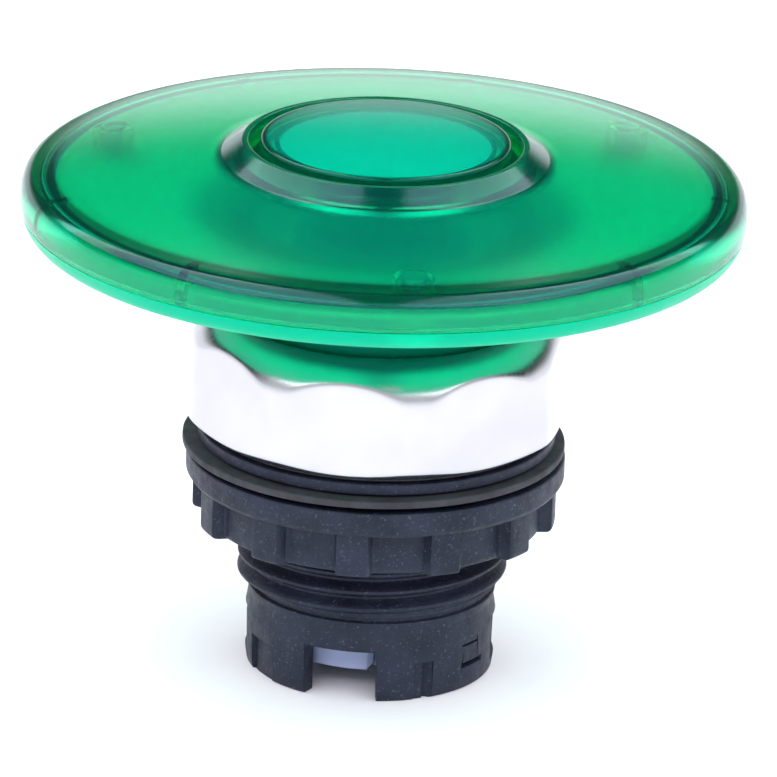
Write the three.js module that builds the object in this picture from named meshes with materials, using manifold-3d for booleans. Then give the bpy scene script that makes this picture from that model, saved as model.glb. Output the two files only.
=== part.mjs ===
// Illuminated mushroom push-button head for a 22 mm panel hole, with its ring nut and gasket.
//
// Millimetres, +Z up. The origin is the centre of the foot's bottom face, and the button is
// pressed along -Z. An azimuth is an angle about Z from the front (-Y), positive towards +X.
// Heights are measured from the foot's bottom face, and every clearance is a named value.

import * as THREE from 'three';
import { mergeVertices } from 'three/addons/utils/BufferGeometryUtils.js';
import Module from 'manifold-3d';

const wasm = await Module();
wasm.setup();

// ---- Driving dimensions ----------------------------------------------------------------

const TAU = 2 * Math.PI;
const SIDES = { envelope: 64, large: 36, medium: 32, small: 24, screw: 12 };
const SECTOR_STEP = 12;
const GAP = 0.1;
// How far a tool runs past the face that it cuts, and how deep a joined solid is sunk into its neighbour.
const PAST = 1;
const SUNK = 0.3;

// Metric thread M22 x 1.5, right-handed.
const THREAD = {
  pitch: 1.5,
  majorR: 10.95,
  minorR: 10.05,
  crestHalf: 0.1,
  flankSlope: Math.tan(TAU / 12),
  bottom: 7.7,
  top: 18.9,
  crestAtFront: 8.23,
  stepsPerTurn: 24,
  fadeSteps: 5,
  clearance: 0.15,
};

// The bayonet foot, whose openings repeat on the opposite side.
const FOOT = {
  r: 10.1,
  edge: 0.25,
  padR: 10.2,
  padTop: 4.9,
  waistR: 9.96,
  waistZ: 6.0,
  top: 6.7,
  neckR: 9.7,
  neckBottom: 6.8,
  threadStart: 7.25,
  boreR: 8.7,
  boreTop: 8.0,
  throughR: 8.2,
  slot: { from: -31, to: 4, top: 4.3 },
  recess: { from: -70, to: -51, top: 3.1, floorR: 9.7 },
  groove: { from: 21.3, to: 31, top: 3.2, floorR: 9.5 },
  slits: [
    { from: 48, to: 61, bottom: 3.7, top: 3.95, floorR: 9.7 },
    { from: 48, to: 64, bottom: 1.85, top: 2.3, floorR: 9.4 },
  ],
  window: { from: 76, to: 100, bottom: 1.0, top: 4.8 },
};

const BODY = {
  guideR: 7.2,
  guideTop: 9.4,
  springBoreR: 9.0,
  flangeR: 14.5,
  flangeBottom: 19.46,
  flangeTop: 20.38,
  neckR: 13.0,
  neckTop: 27.0,
  hubBoreR: 12.35,
  hubBoreBottom: 21.6,
  keyR: 12.6,
  keyBottom: 18.4,
  keyWidth: 3.0,
};

const NUT = {
  bottom: 12.4,
  toothTop: 16.1,
  top: 18.2,
  flangeR: 15.36,
  flangeLowR: 15.1,
  flangeEdge: 0.35,
  toothR: 14.75,
  rootR: 13.75,
  teeth: 12,
  toothHalf: 5.3,
  toothFlank: 1.6,
  firstTooth: -6.15,
};

// The gasket is loose on the thread, and lies a little to one side.
const GASKET = {
  r: 15.5,
  holeR: 11.3,
  bottom: 18.66,
  top: 19.28,
  notchR: 12.9,
  notchWidth: 3.6,
  aside: -0.2,
};

// The bezel: a round ring with a rounded shoulder above, a chamfer below and eight flats cut into it.
const BEZEL = {
  r: 15.6,
  sides: 8,
  flatR: 14.9,
  firstCorner: 12.5,
  bottom: 20.9,
  bottomR: 14.68,
  lowShoulder: 21.57,
  shoulder: 26.9,
  shoulderForm: 1.2,
  shoulderSteps: 6,
  top: 30.4,
  topR: 12.6,
  lipR: 12.45,
  lipBottom: 28.5,
  cavityR: 13.2,
};

// Rings between the pieces: the bezel's flat seal and the wiper round the hub.
const SEAL = { innerR: 13.3, r: 14.0, gap: 0.08 };
const WIPER = { clearance: 0.12, gap: 0.05 };

// The mushroom: a dished base and a domed lens that meet at a seam round the rim. The rim is widest
// at rimZ. Above that its section is a rounded shoulder up to the dome, and below it an ellipse down
// to the rim's foot.
const MUSHROOM = {
  rimR: 29.25,
  rimZ: 39.3,
  shoulderR: 28.0,
  shoulderForm: 0.9,
  rimFootR: 28.0,
  rimBottom: 36.9,
  rimInnerR: 26.8,
  dishR: 26.2,
  dishZ: 37.3,
  dishInnerZ: 38.7,
  seam: 38.4,
  seamGap: 0.15,
  domeCurvature: 172,
  domeTop: 43.56,
  wall: 1.6,
  wallR: 25.2,
  wallInnerR: 27.4,
  wallInnerZ: 40.05,
  coneR: 13.2,
  collarR: 11.5,
  collarTop: 44.35,
  socketR: 11.04,
  socketFloor: 42.0,
  socketFloorBottom: 41.2,
  socketWallR: 13.6,
  socketHoleR: 9.4,
  postR: 1.65,
  postBottom: 38.95,
  spigotR: 27.2,
  spigotInnerR: 25.95,
  spigotTop: 39.4,
  sealGap: 0.2,
  sealHeight: 0.45,
};

const HUB = {
  r: 12.1,
  boreR: 10.9,
  bottom: 26.6,
  neckTop: 34.8,
  filletR: 12.5,
  filletZ: 35.4,
  dishStartR: 13.4,
  dishStartZ: 35.9,
  floorR: 13.0,
  floorZ: 37.4,
  boreTop: 37.2,
  clipGrooveR: 11.3,
  clipGrooveBottom: 27.5,
  clipGrooveTop: 28.5,
  ledgeR: 8.8,
  ledgeBottom: 30.0,
  ledgeTop: 31.0,
};

const SCREW = {
  count: 3,
  first: 6,
  circleR: 24.1,
  shankR: 0.9,
  headR: 1.8,
  headBottom: 36.85,
  headTop: 37.5,
  tip: 40.6,
  headPocketR: 2.2,
  headPocketTop: 37.65,
  baseHoleR: 1.2,
  postHoleR: 1.1,
  postHoleTop: 40.9,
};

const CAP = {
  r: 10.06,
  edge: 0.22,
  top: 44.6,
  flangeR: 10.85,
  flangeTop: 42.8,
  bottom: 42.15,
  pocketR: 8.7,
  pocketTop: 43.3,
  legs: 4,
  legHalf: 14,
  legInnerR: 8.45,
  legR: 9.2,
  legBottom: 40.2,
  hookR: 9.8,
  hookTop: 40.95,
};

const LEGEND = { r: 8.5, bottom: 42.4, top: 43.1 };

const PLUNGER = {
  r: 7.0,
  channelR: 5.2,
  bottom: 4.8,
  top: 36.0,
  grooveR: 6.5,
  grooveBottom: 6.5,
  grooveTop: 7.25,
  shoulderR: 8.6,
  shoulderBottom: 26.2,
  shoulderTop: 27.2,
  flangeR: 10.6,
  flangeBottom: 28.6,
  flangeTop: 29.9,
};

const PUSHER = { innerR: 5.4, ringR: 6.9, lugR: 7.9, bottom: 1.9, top: 4.6, lugFrom: -40, lugTo: 3 };

// Rings and washers on the plunger. A retaining ring is open between its two azimuths.
const HUB_CLIP = { innerR: 9.6, from: 15, to: 345, gap: 0.2 };
const CIRCLIP = { r: 8.2, from: 20, to: 340 };
const STOP_WASHER = { r: 8.5, play: 0.15, gap: 0.05 };
const SPRING_SEAT = { r: 8.75, play: 0.15 };

const SPRING = { midR: 8.05, wireR: 0.4, bottom: 9.5, top: 25.4, turns: 6.5, stepsPerTurn: 8, sides: 6 };

const COLOURS = {
  blackPlastic: { color: 0x34373e, roughness: 0.5, metalness: 0.0 },
  greenLens: { color: 0x05b284, roughness: 0.12, metalness: 0.0 },
  greenBase: { color: 0x06a47a, roughness: 0.25, metalness: 0.0 },
  bezelMetal: { color: 0xd6d5da, roughness: 0.3, metalness: 0.9 },
  rubber: { color: 0x1f1d1d, roughness: 0.8, metalness: 0.0 },
  greyPlastic: { color: 0x8a93a5, roughness: 0.45, metalness: 0.0 },
  opalPlastic: { color: 0xe6ebe8, roughness: 0.4, metalness: 0.0 },
  springSteel: { color: 0xb4b7ba, roughness: 0.3, metalness: 1.0 },
};

// ---- Solids ----------------------------------------------------------------------------

const radians = THREE.MathUtils.degToRad;

function polar(radius, azimuth) {
  return new THREE.Vector2(radius * Math.sin(azimuth), -radius * Math.cos(azimuth));
}

// A manifold solid from a closed geometry. Triangles that collapse onto the axis are dropped.
function solidOf(geometry) {
  geometry.deleteAttribute('normal');
  geometry.deleteAttribute('uv');
  const merged = mergeVertices(geometry, 1e-5);
  const corners = merged.index.array;
  const triVerts = [];
  for (let i = 0; i < corners.length; i += 3) {
    const triangle = corners.slice(i, i + 3);
    if (new Set(triangle).size === 3) {
      triVerts.push(...triangle);
    }
  }
  return new wasm.Manifold(new wasm.Mesh({
    numProp: 3,
    vertProperties: new Float32Array(merged.attributes.position.array),
    triVerts: new Uint32Array(triVerts),
  }));
}

function geometryOf(solid) {
  const mesh = solid.getMesh();
  const geometry = new THREE.BufferGeometry();
  geometry.setAttribute('position', new THREE.BufferAttribute(new Float32Array(mesh.vertProperties), 3));
  geometry.setIndex(new THREE.BufferAttribute(new Uint32Array(mesh.triVerts), 1));
  geometry.computeVertexNormals();
  return geometry;
}

// A profile of [radius, height] pairs, turned about Z. It starts and ends on the axis, or is a
// loop that runs outwards along its bottom and back along its top.
function lathe(profile, sides) {
  const outline = profile.map(([r, z]) => new THREE.Vector2(r, z));
  if (outline[0].x > 0) {
    outline.push(outline[0].clone());
  }
  return solidOf(new THREE.LatheGeometry(outline, sides).rotateX(TAU / 4));
}

function tube(innerR, outerR, bottom, top, sides) {
  return lathe([[innerR, bottom], [outerR, bottom], [outerR, top], [innerR, top]], sides);
}

function disc(outerR, bottom, top, sides) {
  return lathe([[0, bottom], [outerR, bottom], [outerR, top], [0, top]], sides);
}

function prism(points, bottom, top) {
  const settings = { depth: top - bottom, bevelEnabled: false };
  const geometry = new THREE.ExtrudeGeometry(new THREE.Shape(points), settings);
  return solidOf(geometry.translate(0, 0, bottom));
}

// Part of a ring between two azimuths in degrees.
function sector(innerR, outerR, from, to, bottom, top) {
  const steps = Math.max(2, Math.ceil((to - from) / SECTOR_STEP));
  const points = [];
  for (let i = 0; i <= steps; i += 1) {
    points.push(polar(outerR, radians(from + (to - from) * i / steps)));
  }
  for (let i = steps; i >= 0; i -= 1) {
    points.push(polar(innerR, radians(from + (to - from) * i / steps)));
  }
  return prism(points, bottom, top);
}

// A block that stands off the axis at one azimuth, square to it.
function radialBlock(innerR, outerR, width, azimuth, bottom, top) {
  const geometry = new THREE.BoxGeometry(width, outerR - innerR, top - bottom);
  geometry.translate(0, -(innerR + outerR) / 2, (bottom + top) / 2);
  return solidOf(geometry.rotateZ(radians(azimuth)));
}

function cylinderAt(centre, radius, bottom, top, sides) {
  const geometry = new THREE.CylinderGeometry(radius, radius, top - bottom, sides);
  return solidOf(geometry.rotateX(TAU / 4).translate(centre.x, centre.y, (bottom + top) / 2));
}

// The thread's ridge: a trapezoid swept along the helix, with its base buried in the core.
// grow makes it larger on every side, and fade lowers its first and last few steps.
function threadRidge(bottom, top, grow, fade) {
  const step = TAU / THREAD.stepsPerTurn;
  const first = Math.ceil((bottom - THREAD.crestAtFront) / THREAD.pitch * THREAD.stepsPerTurn);
  const last = Math.floor((top - THREAD.crestAtFront) / THREAD.pitch * THREAD.stepsPerTurn);
  const baseR = THREAD.minorR - SUNK;
  const positions = [];
  for (let i = first; i <= last; i += 1) {
    const fromEnd = Math.min(i - first, last - i);
    const height = fade ? Math.min(1, (fromEnd + 0.5) / THREAD.fadeSteps) : 1;
    const crestR = THREAD.minorR + (THREAD.majorR + grow - THREAD.minorR) * height;
    const crestHalf = THREAD.crestHalf + grow + (THREAD.majorR + grow - crestR) * THREAD.flankSlope;
    const baseHalf = crestHalf + (crestR - baseR) * THREAD.flankSlope;
    const z = THREAD.crestAtFront + THREAD.pitch * i / THREAD.stepsPerTurn;
    const section = [[baseR, -baseHalf], [crestR, -crestHalf], [crestR, crestHalf], [baseR, baseHalf]];
    for (const [r, dz] of section) {
      const point = polar(r, i * step);
      positions.push(point.x, point.y, z + dz);
    }
  }
  const index = [0, 1, 2, 0, 2, 3];
  for (let i = 0; i < last - first; i += 1) {
    for (let side = 0; side < 4; side += 1) {
      const here = 4 * i + side;
      const beside = 4 * i + (side + 1) % 4;
      index.push(here, here + 4, beside + 4, here, beside + 4, beside);
    }
  }
  const end = 4 * (last - first);
  index.push(end, end + 2, end + 1, end, end + 3, end + 2);
  const geometry = new THREE.BufferGeometry();
  geometry.setAttribute('position', new THREE.Float32BufferAttribute(positions, 3));
  geometry.setIndex(index);
  return solidOf(geometry);
}

class Helix extends THREE.Curve {
  getPoint(t, target = new THREE.Vector3()) {
    const point = polar(SPRING.midR, t * SPRING.turns * TAU);
    const low = SPRING.bottom + SPRING.wireR;
    const high = SPRING.top - SPRING.wireR;
    return target.set(point.x, point.y, low + (high - low) * t);
  }
}

function domeHeight(radius) {
  return MUSHROOM.domeTop - radius * radius / (2 * MUSHROOM.domeCurvature);
}

// The rounded shoulder between the rim and the dome, from 0 at the rim to a right angle at the dome.
function shoulderPoint(angle) {
  const { rimR, rimZ, shoulderR, shoulderForm } = MUSHROOM;
  return [
    shoulderR + (rimR - shoulderR) * Math.cos(angle) ** shoulderForm,
    rimZ + (domeHeight(shoulderR) - rimZ) * Math.sin(angle) ** shoulderForm,
  ];
}

// The rim's section below its widest height.
function lowRimPoint(height) {
  const { rimR, rimZ, rimFootR, rimBottom } = MUSHROOM;
  const share = (rimZ - height) / (rimZ - rimBottom);
  return [rimFootR + (rimR - rimFootR) * Math.sqrt(1 - share * share), height];
}

// ---- Housing ---------------------------------------------------------------------------

function footCuts() {
  const reach = FOOT.padR + PAST;
  const below = -PAST;
  const cuts = [];
  for (const turn of [0, 180]) {
    const cut = (feature, innerR, bottom) => sector(
      innerR, reach, feature.from + turn, feature.to + turn, bottom, feature.top);
    cuts.push(cut(FOOT.slot, FOOT.throughR, below));
    cuts.push(cut(FOOT.recess, FOOT.recess.floorR, below));
    cuts.push(cut(FOOT.groove, FOOT.groove.floorR, below));
    cuts.push(cut(FOOT.window, FOOT.throughR, FOOT.window.bottom));
    for (const slit of FOOT.slits) {
      cuts.push(cut(slit, slit.floorR, slit.bottom));
    }
  }
  return cuts;
}

function threadedBody() {
  let body = lathe([
    [FOOT.boreR, 0],
    [FOOT.r - FOOT.edge, 0],
    [FOOT.r, FOOT.edge],
    [FOOT.padR, FOOT.padTop],
    [FOOT.waistR, FOOT.waistZ],
    [FOOT.r, FOOT.top],
    [FOOT.neckR, FOOT.neckBottom],
    [FOOT.neckR, FOOT.threadStart],
    [THREAD.minorR, THREAD.bottom],
    [THREAD.minorR, BODY.flangeBottom],
    [BODY.flangeR, BODY.flangeBottom],
    [BODY.flangeR, BODY.flangeTop],
    [BODY.neckR, BODY.flangeTop],
    [BODY.neckR, BODY.neckTop],
    [BODY.hubBoreR, BODY.neckTop],
    [BODY.hubBoreR, BODY.hubBoreBottom],
    [BODY.springBoreR, BODY.hubBoreBottom],
    [BODY.springBoreR, BODY.guideTop],
    [BODY.guideR, BODY.guideTop],
    [BODY.guideR, FOOT.boreTop],
    [FOOT.boreR, FOOT.boreTop],
  ], THREAD.stepsPerTurn);
  for (const cut of footCuts()) {
    body = body.subtract(cut);
  }
  const key = radialBlock(
    THREAD.minorR - SUNK, BODY.keyR, BODY.keyWidth, 180, BODY.keyBottom, BODY.flangeBottom + SUNK);
  return body.add(threadRidge(THREAD.bottom, THREAD.top, 0, true)).add(key);
}

function bezel() {
  const corners = [];
  const cornerR = BEZEL.flatR / Math.cos(Math.PI / BEZEL.sides);
  for (let i = 0; i < BEZEL.sides; i += 1) {
    corners.push(polar(cornerR, radians(BEZEL.firstCorner + 360 * i / BEZEL.sides)));
  }
  const shoulder = [];
  for (let i = 0; i <= BEZEL.shoulderSteps; i += 1) {
    const angle = Math.PI / 2 * i / BEZEL.shoulderSteps;
    shoulder.push([
      BEZEL.topR + (BEZEL.r - BEZEL.topR) * Math.cos(angle) ** BEZEL.shoulderForm,
      BEZEL.shoulder + (BEZEL.top - BEZEL.shoulder) * Math.sin(angle) ** BEZEL.shoulderForm,
    ]);
  }
  const envelope = lathe([
    [0, BEZEL.bottom],
    [BEZEL.bottomR, BEZEL.bottom],
    [BEZEL.r, BEZEL.lowShoulder],
    ...shoulder,
    [0, BEZEL.top],
  ], SIDES.envelope);
  const cavity = lathe([
    [0, BEZEL.bottom - PAST],
    [BEZEL.cavityR, BEZEL.bottom - PAST],
    [BEZEL.cavityR, BEZEL.lipBottom],
    [BEZEL.lipR, BEZEL.lipBottom],
    [BEZEL.lipR, BEZEL.top + PAST],
    [0, BEZEL.top + PAST],
  ], SIDES.large);
  return prism(corners, BEZEL.bottom - PAST, BEZEL.top + PAST).intersect(envelope).subtract(cavity);
}

// The flat ring that seals the bezel's bottom edge to the body's flange.
function bezelSeal() {
  return tube(SEAL.innerR, SEAL.r, BODY.flangeTop + SEAL.gap, BEZEL.bottom - SEAL.gap, SIDES.medium);
}

// The wiper that the hub slides through, on top of the body's neck.
function lipSeal() {
  return tube(
    HUB.r + WIPER.clearance, BEZEL.cavityR - WIPER.clearance,
    BODY.neckTop + WIPER.gap, BEZEL.lipBottom - GAP, SIDES.medium);
}

function returnSpring() {
  const section = [];
  for (let i = 0; i < SPRING.sides; i += 1) {
    section.push(polar(SPRING.wireR, TAU * i / SPRING.sides));
  }
  const geometry = new THREE.ExtrudeGeometry(new THREE.Shape(section), {
    steps: SPRING.turns * SPRING.stepsPerTurn,
    extrudePath: new Helix(),
    bevelEnabled: false,
  });
  return solidOf(geometry);
}

// ---- Panel fixing ----------------------------------------------------------------------

function panelGasket() {
  const notch = radialBlock(
    GASKET.holeR - PAST, GASKET.notchR, GASKET.notchWidth, 180, GASKET.bottom - PAST, GASKET.top + PAST);
  return tube(GASKET.holeR, GASKET.r, GASKET.bottom, GASKET.top, SIDES.large).subtract(notch);
}

function ringNut() {
  const outline = [];
  const pitchAngle = 360 / NUT.teeth;
  for (let i = 0; i < NUT.teeth; i += 1) {
    const middle = NUT.firstTooth + pitchAngle * i;
    const foot = NUT.toothHalf + NUT.toothFlank;
    outline.push(polar(NUT.rootR, radians(middle - foot)));
    outline.push(polar(NUT.toothR, radians(middle - NUT.toothHalf)));
    outline.push(polar(NUT.toothR, radians(middle + NUT.toothHalf)));
    outline.push(polar(NUT.rootR, radians(middle + foot)));
    outline.push(polar(NUT.rootR, radians(middle + pitchAngle / 2)));
  }
  const flange = lathe([
    [0, NUT.toothTop],
    [NUT.flangeLowR, NUT.toothTop],
    [NUT.flangeR, NUT.toothTop + NUT.flangeEdge],
    [NUT.flangeR, NUT.top],
    [0, NUT.top],
  ], SIDES.large);
  const bore = disc(
    THREAD.minorR + THREAD.clearance, NUT.bottom - PAST, NUT.top + PAST, THREAD.stepsPerTurn);
  const internalThread = threadRidge(
    NUT.bottom - THREAD.pitch, NUT.top + THREAD.pitch, THREAD.clearance, false);
  return prism(outline, NUT.bottom, NUT.toothTop + SUNK).add(flange).subtract(bore).subtract(internalThread);
}

// ---- Operator --------------------------------------------------------------------------

function screwCentres() {
  return Array.from({ length: SCREW.count }, (_, i) => (
    polar(SCREW.circleR, radians(SCREW.first + 360 * i / SCREW.count))));
}

function mushroomBase() {
  const { rimBottom, seam, spigotR, spigotInnerR, spigotTop } = MUSHROOM;
  let base = lathe([
    [HUB.boreR, HUB.bottom],
    [HUB.r, HUB.bottom],
    [HUB.r, HUB.neckTop],
    [HUB.filletR, HUB.filletZ],
    [HUB.dishStartR, HUB.dishStartZ],
    [MUSHROOM.dishR, MUSHROOM.dishZ],
    [MUSHROOM.rimInnerR, rimBottom],
    lowRimPoint(rimBottom),
    lowRimPoint(rimBottom + (seam - rimBottom) * 0.2),
    lowRimPoint(rimBottom + (seam - rimBottom) * 0.55),
    lowRimPoint(seam),
    [spigotR, seam],
    [spigotR, spigotTop],
    [spigotInnerR, spigotTop],
    [spigotInnerR, MUSHROOM.dishInnerZ],
    [HUB.floorR, HUB.floorZ],
    [HUB.boreR, HUB.boreTop],
    [HUB.boreR, HUB.ledgeTop],
    [HUB.ledgeR, HUB.ledgeTop],
    [HUB.ledgeR, HUB.ledgeBottom],
    [HUB.boreR, HUB.ledgeBottom],
    [HUB.boreR, HUB.clipGrooveTop],
    [HUB.clipGrooveR, HUB.clipGrooveTop],
    [HUB.clipGrooveR, HUB.clipGrooveBottom],
    [HUB.boreR, HUB.clipGrooveBottom],
  ], SIDES.large);
  const below = rimBottom - PAST;
  for (const centre of screwCentres()) {
    base = base.subtract(cylinderAt(centre, SCREW.headPocketR, below, SCREW.headPocketTop, SIDES.screw));
    base = base.subtract(cylinderAt(centre, SCREW.baseHoleR, below, SCREW.tip, SIDES.screw));
  }
  return base;
}

function mushroomLens() {
  const bottom = MUSHROOM.seam + MUSHROOM.seamGap;
  const { coneR, wallR, socketWallR } = MUSHROOM;
  const shoulder = [0, 25, 50, 90].map((angle) => shoulderPoint(radians(angle)));
  const domeOutside = [24, 18.6, coneR].map((r) => [r, domeHeight(r)]);
  const domeInside = [socketWallR, (socketWallR + wallR) / 2, wallR].map(
    (r) => [r, domeHeight(r) - MUSHROOM.wall]);
  let lens = lathe([
    [MUSHROOM.wallInnerR, bottom],
    lowRimPoint(bottom),
    ...shoulder,
    ...domeOutside,
    [MUSHROOM.collarR, MUSHROOM.collarTop],
    [MUSHROOM.socketR, MUSHROOM.collarTop],
    [MUSHROOM.socketR, MUSHROOM.socketFloor],
    [MUSHROOM.socketHoleR, MUSHROOM.socketFloor],
    [MUSHROOM.socketHoleR, MUSHROOM.socketFloorBottom],
    ...domeInside,
    [MUSHROOM.wallInnerR, MUSHROOM.wallInnerZ],
  ], SIDES.large);
  for (const centre of screwCentres()) {
    lens = lens.add(cylinderAt(
      centre, MUSHROOM.postR, MUSHROOM.postBottom, SCREW.postHoleTop, SIDES.screw));
    lens = lens.subtract(cylinderAt(
      centre, SCREW.postHoleR, MUSHROOM.postBottom - PAST, SCREW.postHoleTop, SIDES.screw));
  }
  return lens;
}

// The ring pressed between the base's spigot and the lens.
function lensSeal() {
  const bottom = MUSHROOM.spigotTop + GAP;
  return tube(
    MUSHROOM.spigotInnerR + MUSHROOM.sealGap, MUSHROOM.spigotR - MUSHROOM.sealGap,
    bottom, bottom + MUSHROOM.sealHeight, SIDES.medium);
}

function centreCap() {
  let cap = lathe([
    [0, CAP.pocketTop],
    [CAP.pocketR, CAP.pocketTop],
    [CAP.pocketR, CAP.bottom],
    [CAP.flangeR, CAP.bottom],
    [CAP.flangeR, CAP.flangeTop],
    [CAP.r, CAP.flangeTop],
    [CAP.r, CAP.top - CAP.edge],
    [CAP.r - CAP.edge, CAP.top],
    [0, CAP.top],
  ], SIDES.medium);
  for (let i = 0; i < CAP.legs; i += 1) {
    const middle = 45 + 360 * i / CAP.legs;
    const from = middle - CAP.legHalf;
    const to = middle + CAP.legHalf;
    cap = cap.add(sector(CAP.legInnerR, CAP.legR, from, to, CAP.legBottom, CAP.bottom + GAP));
    cap = cap.add(sector(CAP.legInnerR, CAP.hookR, from, to, CAP.legBottom, CAP.hookTop));
  }
  return cap;
}

function legendPlate() {
  return disc(LEGEND.r, LEGEND.bottom, LEGEND.top, SIDES.small);
}

function plunger() {
  return lathe([
    [PLUNGER.channelR, PLUNGER.bottom],
    [PLUNGER.r, PLUNGER.bottom],
    [PLUNGER.r, PLUNGER.grooveBottom],
    [PLUNGER.grooveR, PLUNGER.grooveBottom],
    [PLUNGER.grooveR, PLUNGER.grooveTop],
    [PLUNGER.r, PLUNGER.grooveTop],
    [PLUNGER.r, PLUNGER.shoulderBottom],
    [PLUNGER.shoulderR, PLUNGER.shoulderBottom],
    [PLUNGER.shoulderR, PLUNGER.shoulderTop],
    [PLUNGER.r, PLUNGER.shoulderTop],
    [PLUNGER.r, PLUNGER.flangeBottom],
    [PLUNGER.flangeR, PLUNGER.flangeBottom],
    [PLUNGER.flangeR, PLUNGER.flangeTop],
    [PLUNGER.r, PLUNGER.flangeTop],
    [PLUNGER.r, PLUNGER.top],
    [PLUNGER.channelR, PLUNGER.top],
  ], SIDES.small);
}

// The retaining ring that holds the plunger's flange against the hub's ledge.
function hubClip() {
  return sector(
    HUB_CLIP.innerR, HUB.clipGrooveR - GAP, HUB_CLIP.from, HUB_CLIP.to,
    HUB.clipGrooveBottom + HUB_CLIP.gap, HUB.clipGrooveTop - HUB_CLIP.gap);
}

function plungerCirclip() {
  return sector(
    PLUNGER.grooveR + GAP, CIRCLIP.r, CIRCLIP.from, CIRCLIP.to,
    PLUNGER.grooveBottom + GAP, PLUNGER.grooveTop - GAP);
}

function stopWasher() {
  return tube(
    PLUNGER.r + STOP_WASHER.play, STOP_WASHER.r,
    PLUNGER.grooveTop + STOP_WASHER.gap, FOOT.boreTop - GAP, SIDES.small);
}

function springSeat() {
  return tube(
    PLUNGER.r + SPRING_SEAT.play, SPRING_SEAT.r,
    SPRING.top + GAP, PLUNGER.shoulderBottom - GAP, SIDES.small);
}

function pusher() {
  let body = tube(PUSHER.innerR, PUSHER.ringR, PUSHER.bottom, PUSHER.top, SIDES.small);
  for (const turn of [0, 180]) {
    body = body.add(sector(
      PUSHER.ringR - SUNK, PUSHER.lugR, PUSHER.lugFrom + turn, PUSHER.lugTo + turn,
      PUSHER.bottom, PUSHER.top));
  }
  return body;
}

// A pan-head screw that points up, with its head's underside at the origin.
function baseScrew() {
  const centre = new THREE.Vector2(0, 0);
  const length = SCREW.tip - SCREW.headTop;
  const head = cylinderAt(centre, SCREW.headR, SCREW.headBottom - SCREW.headTop, 0, SIDES.screw);
  return head.add(cylinderAt(centre, SCREW.shankR, -GAP, length, SIDES.screw));
}

// ---- Assembly --------------------------------------------------------------------------

function part(name, solid, look) {
  const mesh = new THREE.Mesh(geometryOf(solid), new THREE.MeshStandardMaterial(COLOURS[look]));
  mesh.name = name;
  return mesh;
}

function assembly(...parts) {
  const group = new THREE.Group();
  group.add(...parts);
  return group;
}

function baseScrews() {
  const screws = new THREE.Group();
  screws.position.z = SCREW.headTop;
  screwCentres().forEach((centre, i) => {
    const screw = part(`base_screw_${i + 1}`, baseScrew(), 'springSteel');
    screw.position.set(centre.x, centre.y, 0);
    screws.add(screw);
  });
  return screws;
}

const housing = assembly(
  part('threaded_body', threadedBody(), 'blackPlastic'),
  part('bezel', bezel(), 'bezelMetal'),
  part('bezel_seal', bezelSeal(), 'rubber'),
  part('lip_seal', lipSeal(), 'rubber'),
  part('return_spring', returnSpring(), 'springSteel'),
);

const gasket = part('panel_gasket', panelGasket(), 'rubber');
gasket.position.x = GASKET.aside;

const panelFixing = assembly(gasket, part('ring_nut', ringNut(), 'blackPlastic'));

const operator = assembly(
  part('mushroom_base', mushroomBase(), 'greenBase'),
  part('mushroom_lens', mushroomLens(), 'greenLens'),
  part('lens_seal', lensSeal(), 'rubber'),
  part('centre_cap', centreCap(), 'greenLens'),
  part('legend_plate', legendPlate(), 'opalPlastic'),
  part('plunger', plunger(), 'greyPlastic'),
  part('hub_clip', hubClip(), 'springSteel'),
  part('spring_seat', springSeat(), 'springSteel'),
  part('stop_washer', stopWasher(), 'springSteel'),
  part('plunger_circlip', plungerCirclip(), 'springSteel'),
  part('pusher', pusher(), 'greyPlastic'),
  baseScrews(),
);

const group = new THREE.Group();
group.add(housing, panelFixing, operator);

export default group;
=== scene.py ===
import math

import bmesh
import bpy
import numpy as np
from mathutils import Matrix, Vector


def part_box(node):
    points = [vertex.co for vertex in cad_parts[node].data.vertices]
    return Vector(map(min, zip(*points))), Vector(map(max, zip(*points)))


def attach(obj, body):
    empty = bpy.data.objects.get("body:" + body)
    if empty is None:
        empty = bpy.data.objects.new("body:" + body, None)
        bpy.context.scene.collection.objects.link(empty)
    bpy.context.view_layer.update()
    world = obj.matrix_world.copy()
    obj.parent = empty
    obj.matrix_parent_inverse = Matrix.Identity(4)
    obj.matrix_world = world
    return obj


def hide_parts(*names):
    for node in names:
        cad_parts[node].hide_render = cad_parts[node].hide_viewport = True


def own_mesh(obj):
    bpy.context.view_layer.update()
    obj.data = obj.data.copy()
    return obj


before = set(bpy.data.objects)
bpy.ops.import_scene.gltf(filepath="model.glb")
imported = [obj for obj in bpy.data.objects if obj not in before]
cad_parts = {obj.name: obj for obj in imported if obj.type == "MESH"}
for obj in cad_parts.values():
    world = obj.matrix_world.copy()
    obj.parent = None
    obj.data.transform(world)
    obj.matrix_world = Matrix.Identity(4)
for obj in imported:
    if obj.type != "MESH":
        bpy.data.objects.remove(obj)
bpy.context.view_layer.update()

# Looks of an illuminated mushroom push-button head. Outlines are in millimetres, as [radius, height] pairs,
# and every mesh is in metres. An azimuth is in degrees about Z, from the front (-Y) towards +X.

MM = 0.001

# ---- Sizes, in millimetres ---------------------------------------------------------------


def low(node):
    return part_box(node)[0].z / MM


def high(node):
    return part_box(node)[1].z / MM


def reach(node):
    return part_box(node)[1].x / MM


SEGMENTS = 240

# The studio's glow by direction: a backdrop all round near the horizon, and a bright room in front that
# reaches higher. FADES are sines of heights, SIDES are shares of the direction along +Y.
BACKDROP_GLOW = 1.4
BACKDROP_FADES = (0.10, 0.30)
ROOM_GLOW = 0.75
ROOM_FADES = (0.60, 0.74)
ROOM_SIDES = (-0.40, 0.0)
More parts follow.
